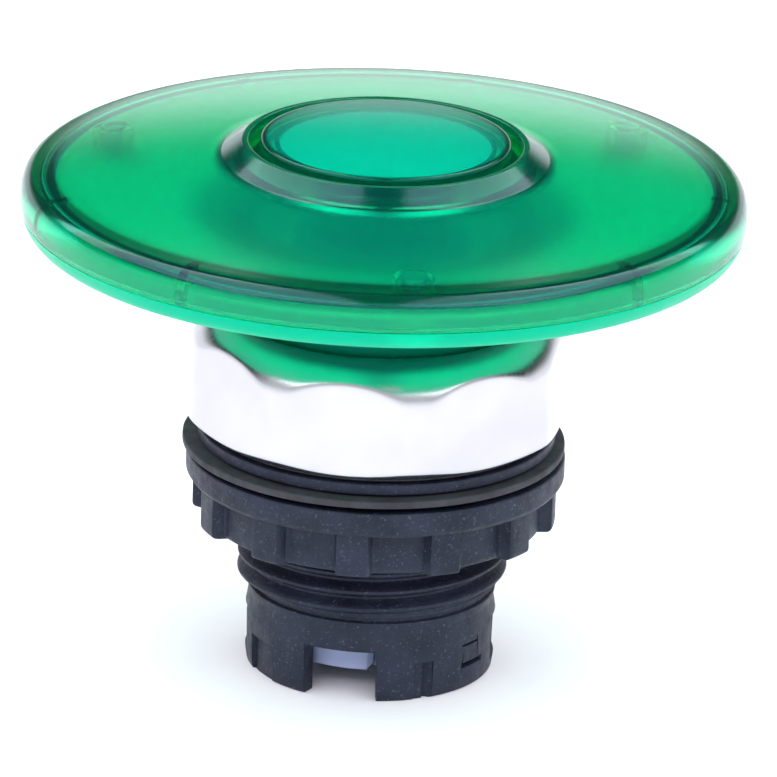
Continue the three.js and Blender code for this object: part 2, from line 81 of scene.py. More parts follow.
# Softboxes, in metres and watts: they hang level, with a gap between them over the middle.
SOFTBOX_SIZE = (1.8, 3.4)
SOFTBOX_BACK = -0.1
SOFTBOX_HEIGHT = 1.2
SOFTBOX_GAP = 0.3
SOFTBOX_POWER = 56.0
COOL_WHITE = (0.95, 0.97, 1.0)

PITCH = 1.5
THREAD_MAJOR = 10.95
THREAD_MINOR = 10.05
CREST_AT_FRONT = 8.23
THREAD_START = 7.25
THREAD_END = 19.0
# Offsets from a crest along the axis, with the share of the ridge's height there.
THREAD_FORM = (
    (-0.75, 0.0), (-0.66, 0.0), (-0.60, 0.06), (-0.36, 0.5), (-0.14, 0.96), (-0.08, 1.0),
    (0.08, 1.0), (0.14, 0.96), (0.36, 0.5), (0.60, 0.06), (0.66, 0.0),
)

RIM_R = reach("mushroom_lens")
RIM_Z = 39.3
SHOULDER_R = 28.0
SHOULDER_FORM = 0.9
RIM_FOOT_R = 28.0
RIM_BOTTOM = 36.9
SEAM = 38.4
DOME_TOP = 43.56
DOME_CURVATURE = 172
LENS_WALL = 1.6
SPIGOT_R = 27.2
SCREW_CIRCLE_R = 24.1
SCREW_AZIMUTHS = (6, 126, 246)
RIB_OFFSET = 40

FLANGE_R = reach("threaded_body")
FLANGE_BOTTOM = 19.46
FLANGE_TOP = 20.38
NECK_R = 13.0
HUB_R = 12.1

# ---- Mesh helpers ------------------------------------------------------------------------


def rounded(points, closed=True, steps=4):
    """An outline with its corners rounded: a point is (r, z) or (r, z, corner radius)."""
    count = len(points)
    outline = []
    for i, point in enumerate(points):
        corner = np.array(point[:2], float)
        radius = point[2] if len(point) > 2 else 0.0
        at_end = not closed and i in (0, count - 1)
        if radius <= 0 or at_end:
            outline.append(corner)
            continue
        before = np.array(points[i - 1][:2], float) - corner
        after = np.array(points[(i + 1) % count][:2], float) - corner
        before_length = np.linalg.norm(before)
        after_length = np.linalg.norm(after)
        before /= before_length
        after /= after_length
        half = math.acos(max(-1.0, min(1.0, float(before @ after)))) / 2
        tangent = min(radius / math.tan(half), 0.48 * before_length, 0.48 * after_length)
        start = corner + before * tangent
        end = corner + after * tangent
        for s in np.linspace(0, 1, steps + 1):
            outline.append((1 - s) ** 2 * start + 2 * s * (1 - s) * corner + s ** 2 * end)
    return np.array(outline)


def curve_points(start, end, bulge, steps):
    """Points between two places on a shallow arc that stands off the straight line by bulge."""
    start = np.array(start, float)
    end = np.array(end, float)
    along = end - start
    side = np.array([along[1], -along[0]]) / np.linalg.norm(along)
    return [tuple(start + along * t + side * bulge * 4 * t * (1 - t)) for t in np.linspace(0, 1, steps)]


def clean(bm):
    bmesh.ops.remove_doubles(bm, verts=bm.verts, dist=2e-7)
    bmesh.ops.dissolve_degenerate(bm, edges=bm.edges, dist=1e-7)


def loft(rows, azimuths, full=True, closed=True, seam=None):
    """A bmesh skinned over outlines that stand round the axis: rows[azimuth][point] is (r, z) in mm.

    full joins the last azimuth to the first, closed joins an outline's last point to its first, and seam
    gives the point that each point of the last azimuth meets on the first.
    """
    rows = np.asarray(rows, float)
    turns, points, _ = rows.shape
    angle = np.radians(np.asarray(azimuths, float))[:, None]
    x = rows[:, :, 0] * np.sin(angle)
    y = -rows[:, :, 0] * np.cos(angle)
    places = np.stack([x, y, rows[:, :, 1]], axis=2).reshape(-1, 3) * MM
    bm = bmesh.new()
    verts = [bm.verts.new(p) for p in places]
    last_point = points if closed else points - 1
    for i in range(turns if full else turns - 1):
        j = (i + 1) % turns
        meets = seam if (seam and j == 0) else (lambda k: k)
        for k in range(last_point):
            n = (k + 1) % points
            near = (i * points + k, i * points + n)
            far = (j * points + meets(k), j * points + meets(n))
            corners = dict.fromkeys((near[0], far[0], far[1], near[1]))
            if len(corners) > 2:
                bm.faces.new([verts[c] for c in corners])
    if not full:
        bm.faces.new([verts[k] for k in range(points)])
        bm.faces.new([verts[(turns - 1) * points + k] for k in reversed(range(points))])
    clean(bm)
    return bm


def lathe(outline, segments=SEGMENTS):
    """A bmesh turned from one outline. It starts and ends on the axis, or closes on itself."""
    outline = np.asarray(outline, float)
    on_axis = outline[0][0] < 1e-6
    rows = np.repeat(outline[None], segments, axis=0)
    return loft(rows, [360 * i / segments for i in range(segments)], closed=not on_axis)


def sector(outline, start, end, step=1.5):
    """Part of a ring between two azimuths, with flat ends."""
    azimuths = np.linspace(start, end, max(2, math.ceil((end - start) / step) + 1))
    rows = np.repeat(np.asarray(outline, float)[None], len(azimuths), axis=0)
    return loft(rows, azimuths, full=False)


def block(inner, outer, bottom, top):
    return [(inner, bottom), (outer, bottom), (outer, top), (inner, top)]


def flat_ring(inner, outer, node, corner):
    """The section of a flat ring that is as high as its CAD node, with its corners rounded."""
    return rounded([(r, z, corner) for r, z in block(inner, outer, low(node), high(node))])


def turned_to(bm, radius, azimuth):
    """Moves a bmesh made about the axis to stand at a place on a circle."""
    angle = math.radians(azimuth)
    place = Vector((radius * math.sin(angle), -radius * math.cos(angle), 0)) * MM
    turn = Matrix.Rotation(angle, 4, "Z")
    bmesh.ops.transform(bm, matrix=Matrix.Translation(place) @ turn, verts=bm.verts)
    return bm


def box_bmesh(size, centre, azimuth=0):
    """A block with its sides along and across one azimuth, in mm: size is (across, radial, high)."""
    bm = bmesh.new()
    bmesh.ops.create_cube(bm, size=1.0)
    scale = Matrix.Diagonal((size[0] * MM, size[1] * MM, size[2] * MM, 1))
    place = Matrix.Translation(Vector((0, -centre[0] * MM, centre[1] * MM)))
    turn = Matrix.Rotation(math.radians(azimuth), 4, "Z")
    bmesh.ops.transform(bm, matrix=turn @ place @ scale, verts=bm.verts)
    return bm


def to_object(bm, name):
    mesh = bpy.data.meshes.new(name)
    bm.to_mesh(mesh)
    bm.free()
    obj = bpy.data.objects.new(name, mesh)
    bpy.context.scene.collection.objects.link(obj)
    return obj


def joined(bmeshes):
    """One bmesh that holds several closed bodies."""
    whole = bmesh.new()
    for bm in bmeshes:
        mesh = bpy.data.meshes.new("body")
        bm.to_mesh(mesh)
        bm.free()
        whole.from_mesh(mesh)
        bpy.data.meshes.remove(mesh)
    return whole


def combine(bm, tools, operation):
    """The bmesh cut by, or joined with, a list of closed bmeshes that don't touch each other."""
    target = to_object(bm, "target")
    tool = to_object(joined(tools), "tool")
    change = target.modifiers.new("combine", "BOOLEAN")
    change.operation = operation
    change.solver = "EXACT"
    change.object = tool
    bpy.context.view_layer.update()
    graph = bpy.context.evaluated_depsgraph_get()
    mesh = bpy.data.meshes.new_from_object(target.evaluated_get(graph))
    result = bmesh.new()
    result.from_mesh(mesh)
    for leftover in (target, tool):
        data = leftover.data
        bpy.data.objects.remove(leftover)
        bpy.data.meshes.remove(data)
    bpy.data.meshes.remove(mesh)
    clean(result)
    return result


def soften(bm, width, chosen, sharpest=40, segments=2):
    """Rounds the sharp edges whose middle point passes the test chosen(point in mm)."""
    edges = [
        e for e in bm.edges
        if len(e.link_faces) == 2
        and e.calc_face_angle(0) > math.radians(sharpest)
        and chosen((e.verts[0].co + e.verts[1].co) / (2 * MM))
    ]
    bmesh.ops.bevel(
        bm, geom=edges, offset=width * MM, segments=segments,
        profile=0.5, affect="EDGES", clamp_overlap=True)
    clean(bm)
    return bm


def piece(bm, name, body, slot, material, *nodes, sharp=32):
    """The finished piece: shaded, given its material, riding on its body in place of its CAD nodes."""
    obj = to_object(bm, name)
    obj.data.shade_smooth()
    obj.data.set_sharp_from_angle(angle=math.radians(sharp))
    obj.data.materials.append(material)
    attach(obj, body)
    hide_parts(*nodes)
    return obj


# ---- Materials ---------------------------------------------------------------------------


class Nodes:
    """A material's node tree, with short calls for the nodes that this script uses."""

    def __init__(self, name):
        self.material = bpy.data.materials.new(name)
        self.material.use_nodes = True
        self.tree = self.material.node_tree
        self.shader = self.tree.nodes["Principled BSDF"]
        self.place = self.tree.nodes.new("ShaderNodeTexCoord").outputs["Object"]

    def set(self, **values):
        """Constants on the shader's own sockets, with spaces for underscores."""
        for name, value in values.items():
            self.shader.inputs[name.replace("_", " ")].default_value = value

    def link(self, output, socket):
        self.tree.links.new(output, socket)

    def noise(self, scale, detail=3.0, roughness=0.55, stretch=(1, 1, 1)):
        """Noise in the object's own space. scale is in features per metre."""
        mapping = self.tree.nodes.new("ShaderNodeMapping")
        mapping.inputs["Scale"].default_value = stretch
        self.link(self.place, mapping.inputs["Vector"])
        node = self.tree.nodes.new("ShaderNodeTexNoise")
        node.inputs["Scale"].default_value = scale
        node.inputs["Detail"].default_value = detail
        node.inputs["Roughness"].default_value = roughness
        self.link(mapping.outputs["Vector"], node.inputs["Vector"])
        return node.outputs["Fac"]

    def specks(self, scale, size):
        """1 inside small round specks, 0 elsewhere."""
        node = self.tree.nodes.new("ShaderNodeTexVoronoi")
        node.inputs["Scale"].default_value = scale
        self.link(self.place, node.inputs["Vector"])
        return self.ramp(node.outputs["Distance"], size * 0.6, 1.0, size, 0.0)

    def band(self, inner, outer, edge, bottom):
        """1 between two radii about the axis and above a height, in mm, fading to 0 over edge."""
        parts = self.tree.nodes.new("ShaderNodeSeparateXYZ")
        self.link(self.place, parts.inputs["Vector"])
        flat = self.tree.nodes.new("ShaderNodeCombineXYZ")
        self.link(parts.outputs["X"], flat.inputs["X"])
        self.link(parts.outputs["Y"], flat.inputs["Y"])
        length = self.tree.nodes.new("ShaderNodeVectorMath")
        length.operation = "LENGTH"
        self.link(flat.outputs["Vector"], length.inputs[0])
        radius = length.outputs["Value"]
        starts = self.ramp(radius, (inner - edge) * MM, 0.0, inner * MM, 1.0)
        ends = self.ramp(radius, outer * MM, 1.0, (outer + edge) * MM, 0.0)
        rises = self.ramp(parts.outputs["Z"], (bottom - edge) * MM, 0.0, bottom * MM, 1.0)
        return self.multiply(rises, self.multiply(starts, ends))

    def ramp(self, value, low_in, low_out, high_in, high_out):
        node = self.tree.nodes.new("ShaderNodeMapRange")
        node.inputs["From Min"].default_value = low_in
        node.inputs["From Max"].default_value = high_in
        node.inputs["To Min"].default_value = low_out
        node.inputs["To Max"].default_value = high_out
        self.link(value, node.inputs["Value"])
        return node.outputs["Result"]

    def mix(self, factor, first, second):
        """A colour between two, each a colour or another node's output."""
        node = self.tree.nodes.new("ShaderNodeMix")
        node.data_type = "RGBA"
        self.link(factor, node.inputs["Factor"])
        for value, socket in ((first, node.inputs["A"]), (second, node.inputs["B"])):
            if isinstance(value, tuple):
                socket.default_value = (*value, 1.0)
            else:
                self.link(value, socket)
        return node.outputs["Result"]

    def multiply(self, first, second):
        node = self.tree.nodes.new("ShaderNodeMath")
        node.operation = "MULTIPLY"
        self.link(first, node.inputs[0])
        self.link(second, node.inputs[1])
        return node.outputs["Value"]

    def colour(self, output):
        self.link(output, self.shader.inputs["Base Color"])

    def roughness(self, output):
        self.link(output, self.shader.inputs["Roughness"])

    def bump(self, height, distance, strength=1.0):
        """Bump whose height runs over distance millimetres."""
        node = self.tree.nodes.new("ShaderNodeBump")
        node.inputs["Strength"].default_value = strength
        node.inputs["Distance"].default_value = distance * MM
        self.link(height, node.inputs["Height"])
        self.link(node.outputs["Normal"], self.shader.inputs["Normal"])

    def absorption(self, colour, density):
        """Light lost on the way through: density is per metre."""
        node = self.tree.nodes.new("ShaderNodeVolumeAbsorption")
        node.inputs["Color"].default_value = (*colour, 1.0)
        node.inputs["Density"].default_value = density
        output = self.tree.nodes["Material Output"]
        self.link(node.outputs["Volume"], output.inputs["Volume"])


def frosted_green(name, ior, clearness, glare, tint, tint_pale, roughness, absorbs, painted_shade_bands):
    """Translucent green polycarbonate with a satin skin and faint flow marks.

    glare tints what the skin reflects. A painted shade band is (inner radius, outer radius, edge, bottom,
    colour):
    the base colour is darkened there to paint in shade.
    """
    made = Nodes(name)
    made.set(IOR=ior, Transmission_Weight=clearness, Specular_Tint=glare)
    colour = made.mix(made.ramp(made.noise(90, 2), 0.35, 0.0, 0.7, 1.0), tint, tint_pale)
    # Painted shade: each band darkens the base colour between two radii, above a height.
    for inner, outer, edge, bottom, dark in painted_shade_bands:
        colour = made.mix(made.band(inner, outer, edge, bottom), colour, dark)
    made.colour(colour)
    made.roughness(made.ramp(made.noise(1400, 4), 0.3, roughness * 0.85, 0.75, roughness * 1.25))
    made.bump(made.noise(2800, 2), 0.001)
    made.absorption(absorbs, GREEN_DENSITY)
    return made.material


def black_plastic():
    """Glass-filled black plastic with a fine moulded grain, dull patches and pale dust."""
    made = Nodes("black_plastic")
    made.set(IOR=1.5, Specular_IOR_Level=0.36, Specular_Tint=(0.76, 0.85, 1.0, 1.0))
    patches = made.ramp(made.noise(260, 4), 0.3, 0.0, 0.75, 1.0)
    base = made.mix(patches, (0.005, 0.0065, 0.015), (0.018, 0.021, 0.041))
    grain = made.mix(made.ramp(made.noise(3800, 2), 0.60, 0.0, 0.74, 1.0), base, (0.055, 0.060, 0.090))
    dust = made.multiply(made.specks(2300, 0.10), made.ramp(made.noise(380, 2), 0.56, 0.0, 0.66, 1.0))
    made.colour(made.mix(dust, grain, (0.27, 0.28, 0.35)))
    made.roughness(made.ramp(made.noise(900, 3), 0.3, 0.4, 0.75, 0.62))
    made.bump(made.noise(3200, 2), 0.03)
    return made.material


def rubber():
    made = Nodes("rubber")
    made.set(IOR=1.48)
    made.colour(made.mix(
        made.ramp(made.noise(400, 4), 0.3, 0.0, 0.75, 1.0), (0.018, 0.018, 0.025), (0.046, 0.045, 0.058)))
    made.roughness(made.ramp(made.noise(900, 3), 0.3, 0.6, 0.75, 0.85))
    made.bump(made.noise(3200, 2), 0.02)
    return made.material


def satin_chrome():
    """Plated die casting: pale, fine-grained, with a few duller patches and handling marks."""
    made = Nodes("satin_chrome")
    made.set(Metallic=1.0)
    made.colour(made.mix(
        made.ramp(made.noise(160, 3), 0.35, 0.0, 0.7, 1.0), (0.54, 0.545, 0.575), (0.60, 0.605, 0.635)))
    made.roughness(made.ramp(made.noise(2400, 3), 0.3, 0.19, 0.75, 0.265))
    made.bump(made.noise(5200, 2), 0.005)
    return made.material


def moulded(name, dark, pale, roughness):
    """Plain moulded plastic for the pieces inside."""
    made = Nodes(name)
    made.set(IOR=1.5)
    made.colour(made.mix(made.ramp(made.noise(240, 3), 0.3, 0.0, 0.75, 1.0), dark, pale))
    made.roughness(made.ramp(made.noise(800, 3), 0.3, roughness * 0.85, 0.75, roughness * 1.2))
    made.bump(made.noise(2400, 2), 0.008)
    return made.material


def spring_steel():
    made = Nodes("spring_steel")
    made.set(Metallic=1.0)
    made.colour(made.mix(
        made.ramp(made.noise(500, 3), 0.3, 0.0, 0.75, 1.0), (0.5, 0.5, 0.52), (0.68, 0.68, 0.7)))
    made.roughness(made.ramp(made.noise(900, 3, stretch=(1, 1, 6)), 0.3, 0.28, 0.75, 0.38))
    made.bump(made.noise(1800, 2, stretch=(1, 1, 8)), 0.004)
    return made.material


GREY_GLARE = (0.42, 0.75, 1.0, 1.0)
GREEN_GLARE = (0.1, 0.9, 0.7, 1.0)
GREEN_DENSITY = 1500
GREEN_LENS = frosted_green(
    "green_lens", ior=1.48, clearness=0.92, glare=GREY_GLARE, tint=(0.001, 0.975, 0.70),
    tint_pale=(0.002, 0.985, 0.73), roughness=0.13, absorbs=(0.0, 0.966, 0.90),
    # Painted shade: a dark ring round the centre socket and a dark band along the rim's shoulder.
    painted_shade_bands=(
        (11.2, 13.3, 0.5, 40.0, (0.0, 0.32, 0.28)),
        (26.7, 28.8, 0.5, 40.6, (0.0, 0.17, 0.16)),
    ))
GREEN_BASE = frosted_green(
    "green_base", ior=1.30, clearness=0.62, glare=GREEN_GLARE, tint=(0.001, 0.98, 0.60),
    tint_pale=(0.002, 0.99, 0.64), roughness=0.34, absorbs=(0.0, 0.97, 0.90),
    # Painted shade: the dish is darker under the mushroom towards the hub, and darkest round the hub.
    painted_shade_bands=(
        (14.0, 24.0, 1.5, 20.0, (0.0, 0.88, 0.54)),
        (8.0, 14.2, 2.5, 20.0, (0.0, 0.34, 0.22)),
    ))
GREEN_CAP = frosted_green(
    "green_cap", ior=1.48, clearness=0.90, glare=GREEN_GLARE, tint=(0.001, 0.96, 0.78),
    tint_pale=(0.002, 0.97, 0.80), roughness=0.13, absorbs=(0.0, 0.96, 0.92),
    # Painted shade: a dark ring round the edge of the centre disc.
    painted_shade_bands=((9.7, 11.0, 0.25, 40.0, (0.0, 0.16, 0.14)),))
BLACK = black_plastic()
RUBBER = rubber()
CHROME = satin_chrome()
GREY = moulded("grey_plastic", (0.26, 0.31, 0.50), (0.34, 0.39, 0.60), 0.42)
OPAL = moulded("opal_plastic", (0.80, 0.84, 0.82), (0.88, 0.91, 0.89), 0.4)
STEEL = spring_steel()

# ---- The mushroom ------------------------------------------------------------------------


def dome_height(radius):
    return DOME_TOP - radius ** 2 / (2 * DOME_CURVATURE)


def low_rim(height):
    """The rim's section below its widest height."""
    share = (RIM_Z - height) / (RIM_Z - RIM_BOTTOM)
    return (RIM_FOOT_R + (RIM_R - RIM_FOOT_R) * math.sqrt(1 - share ** 2), height)


def lens():
    """The domed lens with its centre socket, its three screw posts and the ribs that key it to the base."""
    bottom = SEAM + 0.08
    shoulder = [
        (SHOULDER_R + (RIM_R - SHOULDER_R) * math.cos(t) ** SHOULDER_FORM,
         RIM_Z + (dome_height(SHOULDER_R) - RIM_Z) * math.sin(t) ** SHOULDER_FORM)
        for t in np.linspace(0, math.pi / 2, 22)
    ]
    dome = [(r, dome_height(r)) for r in np.linspace(27.2, 13.6, 18)]
    inside = [(r, dome_height(r) - LENS_WALL) for r in np.linspace(13.0, 25.2, 14)]
    outline = rounded([
        (27.4, bottom, 0.06),
        (*low_rim(bottom), 0.05),
        *(low_rim(z) for z in np.linspace(bottom + 0.15, RIM_Z - 0.1, 5)),
        *shoulder,
        *dome,
        (13.2, 43.1, 0.35),
        (11.5, 44.35, 0.25),
        (11.04, 44.35, 0.12),
        (11.04, 42.0, 0.1),
        (9.4, 42.0, 0.12),
        (9.4, 41.2, 0.12),
        *inside,
        (27.4, 40.05, 0.4),
    ])
    shell = lathe(outline)
    posts = [
        turned_to(lathe([(0, 38.95), (1.65, 38.95), (1.65, 41.2), (0, 41.2)], 32), SCREW_CIRCLE_R, a)
        for a in SCREW_AZIMUTHS
    ]
    ribs = [
        box_bmesh((0.8, 1.6, 1.9), (26.9, 39.5), a + side * RIB_OFFSET)
        for a in SCREW_AZIMUTHS for side in (-1, 1)
    ]
    shell = combine(shell, posts + ribs, "UNION")
    holes = [
        turned_to(lathe([(0, 38), (1.05, 38), (1.05, 40.9), (0, 40.9)], 24), SCREW_CIRCLE_R, a)
        for a in SCREW_AZIMUTHS
    ]
    shell = combine(shell, holes, "DIFFERENCE")
    piece(shell, "lens_shell", "operator", "green_lens", GREEN_LENS, "mushroom_lens")


def base():
    """The dished base with its hub, counterbored for the screws from below."""
    underside = curve_points((13.6, 36.0), (26.0, 37.25), 0.15, 8)
    outline = rounded([
        (10.9, 26.6, 0.2),
        (HUB_R, 26.6, 0.2),
        (HUB_R, 34.9),
        (12.3, 35.4),
        (12.8, 35.8),
        *underside,
        (26.8, RIM_BOTTOM, 0.3),
        *(low_rim(z) for z in RIM_BOTTOM + (SEAM - RIM_BOTTOM) * np.linspace(0, 0.95, 14) ** 2),
        (*low_rim(SEAM), 0.05),
        (SPIGOT_R, SEAM, 0.1),
        (SPIGOT_R, 39.4, 0.15),
        (25.95, 39.4, 0.15),
        (25.95, 38.7, 0.3),
        (13.0, 37.4, 0.3),
        (10.9, 37.2, 0.2),
        (10.9, 31.0),
        (8.8, 31.0, 0.15),
        (8.8, 30.0, 0.15),
        (10.9, 30.0),
        (10.9, 28.5),
        (11.3, 28.5),
        (11.3, 27.5),
        (10.9, 27.5),
    ])
    dish = lathe(outline)
    pockets = [
        turned_to(
            lathe([(0, 35.5), (2.2, 35.5), (2.2, 37.65), (1.2, 37.65), (1.2, 40), (0, 40)], 40),
            SCREW_CIRCLE_R, a)
        for a in SCREW_AZIMUTHS
    ]
    notches = [
        box_bmesh((1.2, 2.4, 1.6), (27.0, SEAM + 0.82), a + side * RIB_OFFSET)
        for a in SCREW_AZIMUTHS for side in (-1, 1)
    ]
    dish = combine(dish, pockets + notches, "DIFFERENCE")
    piece(dish, "base_dish", "operator", "green_base", GREEN_BASE, "mushroom_base")


def cap():
    """The centre disc: a shallow cup with a flange, held by four hooked legs."""
    top = high("centre_cap")
    outline = rounded([
        (0, 43.3),
        (8.7, 43.3, 0.2),
        (8.7, 42.15, 0.1),
        (10.85, 42.15, 0.12),
        (10.85, 42.8, 0.12),
        (10.06, 42.8, 0.1),
        (10.06, top, 0.3),
        (0, top),
    ], closed=False)
    disc = lathe(outline)
    legs = []
    for i in range(4):
        middle = 45 + 90 * i
        leg = [(8.45, 40.2), (9.5, 40.2), (9.8, 40.95), (9.2, 40.95), (9.2, 42.3), (8.45, 42.3)]
        legs.append(sector(leg, middle - 14, middle + 14))
    disc = combine(disc, legs, "UNION")
    piece(disc, "cap_disc", "operator", "green_lens", GREEN_CAP, "centre_cap")


def inside_the_mushroom():
    plate = rounded(
        [(0, 42.4), (8.5, 42.4, 0.15), (8.5, 43.1, 0.15), (0, 43.1)], closed=False)
    piece(lathe(plate), "legend_disc", "operator", "opal_plastic", OPAL, "legend_plate")
    ring = [
        (26.575 + 0.38 * math.cos(t), 39.74 + 0.22 * math.sin(t))
        for t in np.linspace(0, 2 * math.pi, 17)[:-1]
    ]
    piece(lathe(ring), "lens_ring", "operator", "rubber", RUBBER, "lens_seal")


def screws():
    """Pan-head screws, driven up from below, with a cross recess."""
    for number, azimuth in enumerate(SCREW_AZIMUTHS, 1):
        turns = [
            point for z in np.arange(37.9, 40.2, 0.5)
            for point in ((0.72, z), (0.9, z + 0.15), (0.9, z + 0.2), (0.72, z + 0.35))
        ]
        outline = rounded([
            (0, 36.85),
            (1.3, 36.88, 0.4),
            (1.8, 37.15, 0.15),
            (1.8, 37.5, 0.08),
            (0.8, 37.5),
            *turns,
            (0.4, 40.6),
            (0, 40.6),
        ], closed=False)
        screw = lathe(outline, 48)
        recess = [box_bmesh((1.5, 0.32, 0.6), (0, 36.95)), box_bmesh((0.32, 0.36, 0.6), (0.55, 36.95)),
                  box_bmesh((0.32, 0.36, 0.6), (-0.55, 36.95))]
        screw = combine(screw, recess, "DIFFERENCE")
        turned_to(screw, SCREW_CIRCLE_R, azimuth)
        piece(screw, f"screw_{number}", "operator", "spring_steel", STEEL, f"base_screw_{number}")


# ---- Bezel and seals ---------------------------------------------------------------------


def soft_min(values, sharpness):
    """The smallest of several arrays, with the change from one to the next rounded."""
    stacked = np.stack(values)
    lowest = stacked.min(axis=0)
    return lowest - np.log(np.exp(-(stacked - lowest) * sharpness).sum(axis=0)) / sharpness


def bezel():
    """A round ring with eight flats cut into it, which run into its shoulder and its chamfer in arches."""
    ring_r = 15.6
    flat_r = 14.9
    first_corner = 12.5
    bottom = low("bezel")
    top = high("bezel")
    bottom_r = 14.68
    low_shoulder = 21.57
    shoulder = 26.9
    shoulder_form = 1.2
    top_r = 12.6
    flat_blend = 40
    edge_blend = 10
    azimuths = np.arange(0, 360, 0.75)
    from_flats = [np.radians(azimuths - first_corner - 22.5 - 45 * i) for i in range(8)]
    flats = soft_min([flat_r / np.maximum(np.cos(angle), 0.3) for angle in from_flats], flat_blend)
    # Walls from the chamfer up to the shoulder, each at one height with its largest radius.
    shoulder_angles = np.linspace(0, math.pi / 2, 40)[1:-1]
    shoulder_radii = top_r + (ring_r - top_r) * np.cos(shoulder_angles) ** shoulder_form
    shoulder_heights = shoulder + (top - shoulder) * np.sin(shoulder_angles) ** shoulder_form
    chamfer_heights = np.linspace(bottom + 0.05, low_shoulder + 0.4, 12)
    chamfer_radii = bottom_r + (ring_r - bottom_r) * (chamfer_heights - bottom) / (low_shoulder - bottom)
    wall_heights = np.linspace(22.4, shoulder, 6)
    wall_radii = np.full_like(wall_heights, ring_r + 0.02)
    heights = np.concatenate([chamfer_heights, wall_heights, shoulder_heights])
    radii = np.concatenate([np.minimum(chamfer_radii, ring_r + 0.3), wall_radii, shoulder_radii])
    outside = np.stack([
        soft_min([flats, np.full_like(flats, ring_r), np.full_like(flats, radius)], edge_blend)
        for radius in radii
    ], axis=1)
    rows = []
    for wall in outside:
        rows.append(rounded([
            (13.2, bottom, 0.1),
            (wall[0] - 0.1, bottom, 0.05),
            *zip(wall, heights),
            (top_r, top, 0.1),
            (12.45, top - 0.04, 0.08),
            (12.45, 28.5, 0.1),
            (13.2, 28.5),
        ]))
    piece(loft(rows, azimuths), "bezel_ring", "housing", "bezel_metal", CHROME, "bezel", sharp=50)


def seals():
    piece(
        lathe(flat_ring(13.3, 14.0, "bezel_seal", 0.1)),
        "bezel_gasket", "housing", "rubber", RUBBER, "bezel_seal")
    bottom = low("lip_seal")
    wiper = rounded([
        (12.5, bottom, 0.1),
        (13.08, bottom, 0.1),
        (13.08, 28.38, 0.1),
        (12.6, 28.38, 0.1),
        (12.22, 28.0, 0.08),
        (12.45, 27.7, 0.08),
    ])
    piece(lathe(wiper), "hub_wiper", "housing", "rubber", RUBBER, "lip_seal")


# ---- Threaded body, gasket and nut ---------------------------------------------------------


def thread_rows(azimuth, bottom, top, grow, inward):
    """The thread's outline at one azimuth between two heights. Past either end it stays on the core."""
    rows = []
    first = math.floor((bottom - CREST_AT_FRONT) / PITCH) - 2
    last = math.ceil((top - CREST_AT_FRONT) / PITCH) + 1
    core = THREAD_MINOR + grow
    depth = THREAD_MAJOR - THREAD_MINOR
    for turn in range(first, last + 1):
        for offset, share in THREAD_FORM:
            z = CREST_AT_FRONT + PITCH * (turn + azimuth / 360) + offset
            fade = min(1.0, max(0.0, min(z - bottom, top - z) / 0.35))
            rows.append((core + depth * share * fade, min(top, max(bottom, z))))
    if inward:
        rows.reverse()
    return rows


def thread_seam(start, count, inward):
    """How a thread's rows meet where the last azimuth joins the first: one turn on."""
    step = -len(THREAD_FORM) if inward else len(THREAD_FORM)

    def meets(k):
        if start <= k < start + count:
            return min(start + count - 1, max(start, k + step))
        return k

    return meets


FOOT_CUTS = (
    # (plan outline as (azimuth, radius) pairs, bottom, top)
    (((-31, 8.2), (4, 8.2), (4, 12), (-31, 12)), -1.0, 4.3),
    (((-70, 9.75), (-51, 9.75), (-51, 12), (-70, 12)), -1.0, 3.1),
    (((21.3, 9.8), (26.5, 9.75), (26.5, 9.4), (28.6, 9.62), (31, 10.0), (31.5, 12), (21.3, 12)), -1.0, 3.2),
    (((48, 9.75), (60, 9.75), (60, 12), (48, 12)), 3.72, 3.92),
    (((48, 9.3), (64, 9.5), (64, 12), (48, 12)), 1.85, 2.3),
    (((76, 8.2), (100, 8.2), (100, 12), (76, 12)), 1.0, 4.8),
)


def foot_cutters():
    cutters = []
    for turn in (0, 180):
        for plan, bottom, top in FOOT_CUTS:
            dense = []
            for (a, r), (b, s) in zip(plan, plan[1:] + plan[:1]):
                steps = max(1, round(abs(b - a) / 1.5))
                dense += [(a + (b - a) * i / steps, r + (s - r) * i / steps) for i in range(steps)]
            bm = bmesh.new()
            rings = []
            for z in (bottom, top):
                rings.append([
                    bm.verts.new((
                        r * math.sin(math.radians(a + turn)) * MM,
                        -r * math.cos(math.radians(a + turn)) * MM,
                        z * MM))
                    for a, r in dense
                ])
            bm.faces.new(list(reversed(rings[0])))
            bm.faces.new(rings[1])
            for i in range(len(dense)):
                j = (i + 1) % len(dense)
                bm.faces.new((rings[0][i], rings[0][j], rings[1][j], rings[1][i]))
            bmesh.ops.recalc_face_normals(bm, faces=bm.faces)
            cutters.append(bm)
    return cutters


